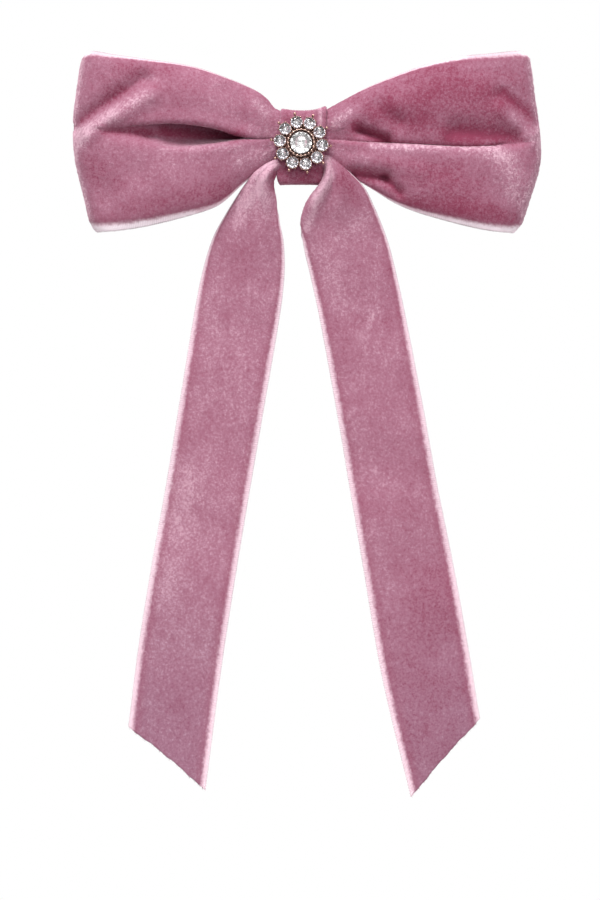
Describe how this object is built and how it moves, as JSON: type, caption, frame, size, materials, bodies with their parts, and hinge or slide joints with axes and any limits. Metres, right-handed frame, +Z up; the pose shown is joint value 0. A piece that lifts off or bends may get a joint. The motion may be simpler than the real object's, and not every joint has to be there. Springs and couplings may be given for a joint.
{
  "type": "velvet bow barrette",
  "caption": "Velvet ribbon bow with long tails and a jewelled round brooch, on an arched spring clip that grips the hair.",
  "frame": {"origin": "middle of the gap between the tension bar and the clasp arm, where the hair is gripped", "axes": "+Z up, with the tails hanging towards -Z; the bow faces -Y and the clip is on its +Y side; +X along the clip towards its hinge"},
  "size_m": [0.1324, 0.0297, 0.2144],
  "materials": {
    "clip_steel": "bright nickel-plated spring steel",
    "velvet_ribbon": "dusty rose velvet pile with paler woven edges",
    "sewing_thread": "polyester sewing thread",
    "rose_gold_metal": "antique rose gold plating, darkened in the recesses",
    "clear_stone": "faceted clear crystal"
  },
  "bodies": {
    "clip_and_bow": {"base_plate": "clip_steel", "hinge_pin": "clip_steel", "tension_bar": "clip_steel", "catch_bracket": "clip_steel", "catch_rivet": "clip_steel", "left_loop": "velvet_ribbon", "right_loop": "velvet_ribbon", "tail_knot": "velvet_ribbon", "centre_band": "velvet_ribbon", "binding_thread": "sewing_thread", "band_stitches": "sewing_thread", "clip_stitches": "sewing_thread", "brooch_plate": "rose_gold_metal", "centre_setting": "rose_gold_metal", "bead_ring": "rose_gold_metal", "petal_setting_01": "rose_gold_metal", "petal_setting_02": "rose_gold_metal", "petal_setting_03": "rose_gold_metal", "petal_setting_04": "rose_gold_metal", "petal_setting_05": "rose_gold_metal", "petal_setting_06": "rose_gold_metal", "petal_setting_07": "rose_gold_metal", "petal_setting_08": "rose_gold_metal", "petal_setting_09": "rose_gold_metal", "petal_setting_10": "rose_gold_metal", "centre_stone": "clear_stone", "petal_stone_01": "clear_stone", "petal_stone_02": "clear_stone", "petal_stone_03": "clear_stone", "petal_stone_04": "clear_stone", "petal_stone_05": "clear_stone", "petal_stone_06": "clear_stone", "petal_stone_07": "clear_stone", "petal_stone_08": "clear_stone", "petal_stone_09": "clear_stone", "petal_stone_10": "clear_stone"},
    "arm": {"clasp_arm": "clip_steel"},
    "upper_leg": {"catch_leg_upper": "clip_steel"},
    "lower_leg": {"catch_leg_lower": "clip_steel"},
    "tail_left": {"left_tail": "velvet_ribbon"},
    "tail_right": {"right_tail": "velvet_ribbon"}
  },
  "joints": [
    {"name": "arm_hinge", "type": "hinge", "parent": "clip_and_bow", "child": "arm", "pos_m": [0.037, 0.00341, 0], "axis": [0, 0, -1], "range_deg": [0, 80]},
    {"name": "catch_pinch", "type": "hinge", "parent": "clip_and_bow", "child": "upper_leg", "pos_m": [-0.037, -0.00108, 0.0022], "axis": [-1, 0, 0], "range_deg": [0, 8], "stiffness_Nm_per_rad": 0.05},
    {"name": "catch_pinch_lower", "type": "hinge", "parent": "clip_and_bow", "child": "lower_leg", "pos_m": [-0.037, -0.00108, -0.0022], "axis": [1, 0, 0], "range_deg": [0, 8], "stiffness_Nm_per_rad": 0.05},
    {"name": "left_tail_swing", "type": "hinge", "parent": "clip_and_bow", "child": "tail_left", "pos_m": [0, -0.01035, -0.016], "axis": [1, 0, 0], "range_deg": [-60, 30]},
    {"name": "right_tail_swing", "type": "hinge", "parent": "clip_and_bow", "child": "tail_right", "pos_m": [0, -0.01035, -0.016], "axis": [1, 0, 0], "range_deg": [-60, 30]}
  ],
  "couplings": [
    {"joint": "catch_pinch_lower", "follows": "catch_pinch", "ratio": 1}
  ]
}
